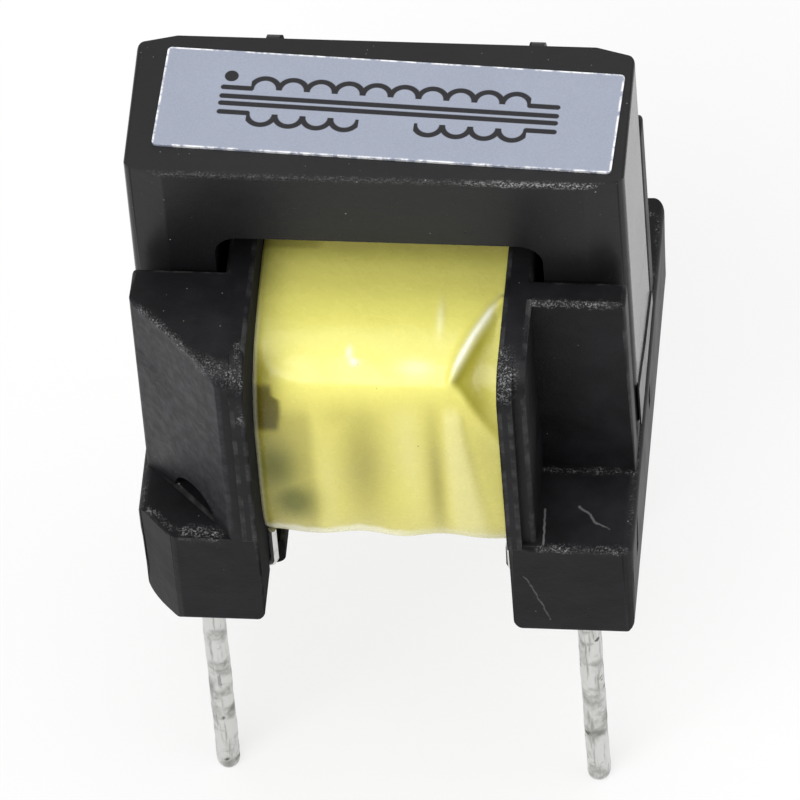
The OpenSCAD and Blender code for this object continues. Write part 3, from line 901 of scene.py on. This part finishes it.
def film_tint(across, along, colours):
    """The film's colour at each grid point: named patches laid over the plain film, among them
    painted shade and painted highlights.
    """

    tint = np.broadcast_to(np.array(colours.bright), (*across.shape, 3)).copy()

    def lay(patch, colour):
        tint[...] = tint + patch[..., None] * (np.array(colour) - tint)

    # painted shade on the upper side towards the core, under the core's top leg
    lay(0.4 * (1 - smooth(along, -4.9, -3.8)), colours.deep)
    # painted shade: the front side laid darker than the upper side
    lay(smooth(along, 0.3, 1.2) * 0.75, colours.front)
    # painted shade in olive bands across the middle and towards the left flange, with painted
    # highlights in paler streaks between
    front = smooth(along, 0.6, 1.8)
    painted_shade_bands = np.maximum.reduce([
        *spots(across, along, (
            (-0.6, 4.0, 0.75, 3.2, 1.0), (-1.1, 1.5, 0.8, 0.8, 0.5),
            (1.78, 4.8, 0.3, 3.4, 1.0),
        )),
        0.75 * smooth(-across, 2.0, 2.5) * smooth(along, 0.7, 2.0),
    ])
    lay(painted_shade_bands * front, colours.painted_shade_olive)
    # painted highlights: paler streaks on the fold ridges
    highlight_streaks = np.maximum(*spots(across, along, (
        (0.95 + 0.04 * (along - 3), 3.0, 0.45, 3.2, 1.0), (-1.85, 5.6, 0.3, 2.2, 0.6),
    )))
    lay(highlight_streaks * front * 0.5, colours.pale)
    # moulding and wire showing through by the left flange
    grey = np.maximum(*spots(across, along, (
        (-3.0, 6.0, 0.75, 1.0, 1.0), (-3.5, 4.2, 0.8, 1.4, 0.85),
    )))
    grey = grey * (1 - smooth(along, 6.9, 7.5))
    lay(np.minimum(grey * 1.1, 0.95), colours.grey)
    wavy = 3.5 - 0.2 * smooth(along, 0.9, 1.1) + 0.05 * np.sin(along * 3.3)
    # painted shadow of the left flange on the film
    shaded = smooth(-across, 2.9, 3.9) * plateau(along, -1.2, 0.3, 1.8, 3.2)
    lay(shaded * 0.9, colours.shade)
    brown = smooth(-across, wavy - 0.1, wavy + 0.1) * plateau(along, 0.4, 0.7, 2.1, 2.5)
    lay(brown * 0.85, colours.brown)
    # painted shade in the pressed-in corner, and a painted highlight along the pleat beside it
    shade = smooth(pressed_in(across, along), 0.0, 0.3)
    shade = shade * (1 - 0.75 * smooth(across, 3.2, 4.0))
    lay(shade * 0.85, colours.shade)
    pleat = ridge(across, along, PLEAT, 0.22 + 0.05 * along, 4)
    lay(pleat * smooth(along, 0.9, 1.6) * 0.9, colours.pale)
    # painted highlights: along the fold and in small glints
    fold = ridge(across, along, FOLD, 0.13) * plateau(across, 2.3, 2.7, 3.5, 3.9)
    glints = fold + sum(spots(across, along, (
        (-0.98, -0.62, 0.1, 0.22, 0.8), (-0.8, -0.3, 0.14, 0.12, 0.8),
        (1.95, -1.9, 0.12, 0.6, 0.35), (1.2, -0.2, 0.6, 0.3, 0.3),
    )))
    lay(np.minimum(glints, 1.0), colours.film)
    # painted highlight where the tape turns under, and bare film along the cut edges
    turned_edge = 7.65 + 0.1 * np.sin(across * 2.2) + 0.04 * np.sin(across * 9.0 + 1.0)
    under = plateau(along, turned_edge - 0.2, turned_edge + 0.2, 8.2, 8.8)
    lay(under * 0.55 * (1 - 0.7 * smooth(across, 0.0, 1.5)), colours.film)
    rim = smooth(np.abs(across), 3.98, 4.1) * plateau(along, -3.0, -1.0, 12.0, 14.0)
    lay(rim * 0.45, colours.film)
    return tint


def uneven_steps(stops, counts):
    """Closed-open runs of evenly spaced values, each with its own count."""
    return np.concatenate([
        np.linspace(start, end, count, endpoint=False)
        for start, end, count in zip(stops, stops[1:], counts)
    ])


# ---- operators


class TRANSFORMER_OT_core(bpy.types.Operator):
    """Make the ferrite core's two pieces with tumbled edges"""

    bl_idname = "transformer.core"
    bl_label = "Core"

    def execute(self, context):
        looks = context.scene.transformer_looks
        face, edge = (ferrite_finish(looks.colours, on_edge) for on_edge in (False, True))
        for node in ("core_u", "core_bar"):
            softened(node, "soft_" + node, looks.edges.ferrite, True, face, edge)
        return {"FINISHED"}


class TRANSFORMER_OT_bobbin(bpy.types.Operator):
    """Make the one-piece moulded bobbin with softened, dusty edges"""

    bl_idname = "transformer.bobbin"
    bl_label = "Bobbin"

    def execute(self, context):
        looks = context.scene.transformer_looks
        face, edge = (moulding_finish(looks.colours, on_edge) for on_edge in (False, True))
        softened(
            "bobbin", "soft_bobbin", looks.edges.moulding, False, face, edge
        )
        return {"FINISHED"}


class TRANSFORMER_OT_tape(bpy.types.Operator):
    """Make the folded outer tape round the coil"""

    bl_idname = "transformer.tape"
    bl_label = "Outer tape"

    def execute(self, context):
        looks = context.scene.transformer_looks
        sizes = looks.tape
        low, high = (np.array(corner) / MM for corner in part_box("outer_tape"))
        middle = (low[2] + high[2]) / 2
        _, half_depth, half_height = (high - low) / 2
        outline, whole = coil_outline(half_depth, half_height, middle)
        edge = high[0] + FILM_OVERHANG
        wide = sizes.columns // 2
        across = uneven_steps([-edge, CLOSE_COLUMNS, edge], [wide, sizes.columns - wide - 1])
        across = np.append(across, edge)
        start, foot = CLOSE_ROWS
        close = round(sizes.rows * CLOSE_ROWS_SHARE)
        along = uneven_steps([start, foot, whole + start], [close, sizes.rows - close])
        rows = len(along)
        grid_along, grid_across = np.meshgrid(along, across, indexing="ij")
        relief = film_relief(grid_across, grid_along, sizes)
        y, z, out_y, out_z = outline(along)
        outer = np.stack([
            grid_across,
            y[:, None] + relief * out_y[:, None],
            z[:, None] + relief * out_z[:, None],
        ], -1)
        # the inner face: three columns the film's thickness further in
        inner = np.stack([
            np.broadcast_to(np.array([edge, 0.0, -edge]), (rows, 3)),
            np.repeat((y - FILM_THICKNESS * out_y)[:, None], 3, 1),
            np.repeat((z - FILM_THICKNESS * out_z)[:, None], 3, 1),
        ], -1)
        points = np.concatenate([outer, inner], 1) * MM
        faces = grid_faces(rows, points.shape[1], closed_rows=True)
        finish = tape_finish(looks.tape_colours)
        piece = put_mesh("folded_tape", points, faces, finish)
        tint = film_tint(grid_across, grid_along, looks.tape_colours)
        tint = np.concatenate([tint, np.repeat(tint[:, -1:], 3, 1)], 1)
        tint = np.concatenate([tint, np.ones((*tint.shape[:2], 1))], -1)
        stored = piece.data.color_attributes.new("tint", "FLOAT_COLOR", "POINT")
        stored.data.foreach_set("color", tint.astype(np.float32).ravel())
        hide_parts("outer_tape")
        return {"FINISHED"}


class TRANSFORMER_OT_windings(bpy.types.Operator):
    """Finish the windings, their leads and the film between them"""

    bl_idname = "transformer.windings"
    bl_label = "Windings and leads"

    def execute(self, context):
        colours = context.scene.transformer_looks.colours
        coat({
            "primary_winding": wire_finish("primary_wire", colours, PRIMARY_TURN),
            "secondary_winding": wire_finish("secondary_wire", colours, SECONDARY_TURN),
            "interlayer_tape": clear_tape_finish(colours),
            **dict.fromkeys(["lead_" + side for side in SIDES], lead_finish(colours)),
        })
        return {"FINISHED"}


# a pin: the length and share of its rounded tip, how much thinner it is in the base, and
# the millimetres from its top over which it thickens and over which its tin grows uneven
TIP_LENGTH, TIP_ROUNDING, SHANK_THINNING = 0.35, 0.75, 0.075
SHANK_END, EVEN_END = (3.45, 3.75), (3.6, 4.4)


class TRANSFORMER_OT_pins(bpy.types.Operator):
    """Make the four tinned pins as uneven turned surfaces"""

    bl_idname = "transformer.pins"
    bl_label = "Pins"

    def execute(self, context):
        looks = context.scene.transformer_looks
        finish = tin_finish(looks.colours)
        for number, side in enumerate(SIDES):
            self.make("pin_" + side, looks.pins, finish, number)
        return {"FINISHED"}

    def make(self, node, sizes, finish, number):
        """A pin: its radius is the drawn wire's, rounded in at the tip and thinner in the
        base, plus slow waves along and round it, by the height and the angle."""
        low, high = (np.array(corner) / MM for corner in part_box(node))
        middle = (low + high) / 2
        radius = (high[0] - low[0]) / 2
        length = high[2] - low[2]
        # rings lie closer together at both ends
        part = 0.5 - 0.5 * np.cos(np.linspace(0, np.pi, sizes.along))
        angle = np.linspace(0, 2 * np.pi, sizes.around, endpoint=False)
        height, turn = np.meshgrid(low[2] + part * length, angle, indexing="ij")
        from_tip, from_top = height - low[2], high[2] - height
        tip = 1 - np.clip(from_tip / TIP_LENGTH, 0, 1)
        taper = np.sqrt(np.clip(1 - tip ** 2 * TIP_ROUNDING, 0, 1))
        shank = 1 - SHANK_THINNING * (1 - smooth(from_top, *SHANK_END))
        waves = (
            0.5 * np.sin(height * 1.9 + number * 2.0 + turn)
            + 0.3 * np.sin(height * 4.7 + 2 * turn + number)
            + 0.2 * np.sin(height * 9.0 - turn + number * 3.0)
        ) * (sizes.wander / MM) * smooth(from_top, *EVEN_END)
        size = radius * taper * shank + waves
        points = np.stack([
            middle[0] + size * np.cos(turn),
            middle[1] + size * np.sin(turn),
            height,
        ], -1)
        rings = points.shape[0]
        ends = [[*middle[:2], low[2]], [*middle[:2], high[2]]]
        points = np.concatenate([points.reshape(-1, 3), ends]) * MM
        sides = grid_faces(rings, sizes.around).tolist()
        ring = np.arange(sizes.around)
        after = np.roll(ring, -1)
        last = (rings - 1) * sizes.around
        centre = np.full_like(ring, rings * sizes.around)
        foot = np.stack([centre, after, ring], -1).tolist()
        head = np.stack([centre + 1, last + ring, last + after], -1).tolist()
        piece = put_mesh("tinned_" + node, points, sides + foot + head, finish)
        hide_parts(node)


class TRANSFORMER_OT_label(bpy.types.Operator):
    """Finish the printed label on the core and the resin at the core's feet"""

    bl_idname = "transformer.label"
    bl_label = "Label and resin"

    def execute(self, context):
        colours = context.scene.transformer_looks.colours
        low, high = (np.array(corner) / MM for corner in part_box("label"))
        coat({
            "label": label_finish(colours, (low + high) / 2, LABEL_TURN),
            "core_adhesive": resin_finish(colours),
        })
        return {"FINISHED"}


class TRANSFORMER_OT_stage(bpy.types.Operator):
    """Make the pale floor, the soft lamps, the surrounding light and the camera"""

    bl_idname = "transformer.stage"
    bl_label = "Stage"

    def execute(self, context):
        scene = context.scene
        looks = scene.transformer_looks
        low, high = FRAME_BOX
        self.floor(looks, low.z)
        self.surround(scene)
        self.lamps((low + high) / 2)
        self.camera(scene, looks.camera)
        scene.view_settings.view_transform = "Standard"
        return {"FINISHED"}

    def floor(self, looks, height):
        points = [
            (x * FLOOR_REACH, y * FLOOR_REACH, height)
            for x, y in ((-1, -1), (1, -1), (1, 1), (-1, 1))
        ]
        mesh = bpy.data.meshes.new("floor")
        mesh.from_pydata(points, [], [(0, 1, 2, 3)])
        mesh.materials.append(floor_finish(looks.colours))
        floor = placed("floor", mesh)

    def surround(self, scene):
        """White where it is seen, directly or in a gloss, and a plain level of light."""
        world = bpy.data.worlds.new("surround")
        scene.world = world
        nodes = Nodes(world)
        strength = nodes.node("ShaderNodeMapRange", {}, {
            "Value": nodes.seen(), "To Min": SURROUND_LIGHT, "To Max": 1.0,
        })
        background = nodes.node(
            "ShaderNodeBackground", {}, {"Strength": strength.outputs[0]}
        )
        nodes.node("ShaderNodeOutputWorld", {}, {0: background.outputs[0]})

    def lamps(self, centre):
        """Square soft lamps, each aimed at the centre."""
        for name, (way, distance, size, power) in LAMPS.items():
            data = bpy.data.lights.new(name, "AREA")
            data.shape, data.size, data.energy = "SQUARE", size, power
            way = Vector(way).normalized()
            lamp = placed(name, data)
            lamp.location = centre + way * distance
            lamp.rotation_euler = way.to_track_quat("Z", "Y").to_euler()

    def camera(self, scene, view):
        """The camera looks from the azimuth and elevation past the top of the core, aimed
        off it by the two shifts, and is turned by the roll about its own axis."""
        a, e, r = view.azimuth, view.elevation, view.roll
        back = Vector((math.sin(a) * math.cos(e), -math.cos(a) * math.cos(e), math.sin(e)))
        level = Vector((math.cos(a), math.sin(a), 0.0))
        upright = back.cross(level)
        right = level * math.cos(r) - upright * math.sin(r)
        up = level * math.sin(r) + upright * math.cos(r)
        pivot = Vector((0.0, 0.0, CORE_TOP * MM))
        eye = pivot + back * view.distance
        aim = right * view.across - up * view.down - back * view.distance
        behind = -aim.normalized()
        right = (right - behind * right.dot(behind)).normalized()
        axes = Matrix((right, behind.cross(right), behind)).transposed().to_4x4()
        data = bpy.data.cameras.new("camera")
        data.sensor_width = 36.0
        data.lens = data.sensor_width * view.distance / view.view_width
        data.clip_start, data.clip_end = 0.01, 20.0
        camera = placed("camera", data)
        camera.matrix_world = Matrix.Translation(eye) @ axes
        scene.camera = camera


class TRANSFORMER_PT_panel(bpy.types.Panel):
    """The sidebar's list of the pieces"""

    bl_idname = "TRANSFORMER_PT_panel"
    bl_label = "Transformer"
    bl_space_type = "VIEW_3D"
    bl_region_type = "UI"
    bl_category = "Transformer"

    def draw(self, context):
        for operator in OPERATORS:
            self.layout.operator(operator.bl_idname)


OPERATORS = (
    TRANSFORMER_OT_core, TRANSFORMER_OT_bobbin, TRANSFORMER_OT_tape,
    TRANSFORMER_OT_windings, TRANSFORMER_OT_pins, TRANSFORMER_OT_label,
    TRANSFORMER_OT_stage,
)
CLASSES = (
    CameraSizes, TapeSizes, TapeColours, PinSizes, EdgeSizes, FinishColours,
    TransformerLooks, *OPERATORS, TRANSFORMER_PT_panel,
)


def register():
    for kind in CLASSES:
        bpy.utils.register_class(kind)
    bpy.types.Scene.transformer_looks = bpy.props.PointerProperty(type=TransformerLooks)


def unregister():
    del bpy.types.Scene.transformer_looks
    for kind in reversed(CLASSES):
        bpy.utils.unregister_class(kind)


def main():
    """Makes every piece in turn."""
    register()
    for operator in OPERATORS:
        group, name = operator.bl_idname.split(".")
        getattr(getattr(bpy.ops, group), name)()
    bpy.context.view_layer.update()


if __name__ == "__main__":
    main()
